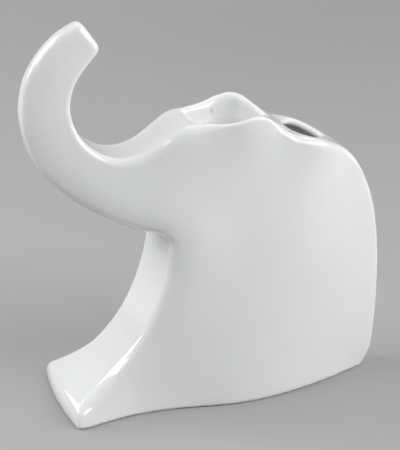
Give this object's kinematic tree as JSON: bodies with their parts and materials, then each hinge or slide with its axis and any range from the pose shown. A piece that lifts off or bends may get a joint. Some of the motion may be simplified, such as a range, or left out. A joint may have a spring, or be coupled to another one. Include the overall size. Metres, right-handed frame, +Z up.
{
  "type": "elephant vase",
  "caption": "Flat white glazed porcelain vase in the form of an elephant with a raised curling trunk, a spread foot and open mouths along its back.",
  "frame": {"origin": "centre of the bounding box at the height of the ground rim that the vase stands on", "axes": "+Z up, the trunk and the spread foot point along -X, and the vase is symmetric about the plane Y = 0"},
  "size_m": [0.2197, 0.0798, 0.2345],
  "materials": {
    "white_glaze": "glossy white glaze over porcelain",
    "bare_bisque": "unglazed porcelain, matt and slightly warm",
    "dried_slip": "fired slip, satin"
  },
  "bodies": {
    "root": {"body_shell": "white_glaze", "trunk": "white_glaze", "trunk_slip_joint": "white_glaze", "base_plate": "bare_bisque", "base_slip_joint": "dried_slip"}
  },
  "joints": []
}
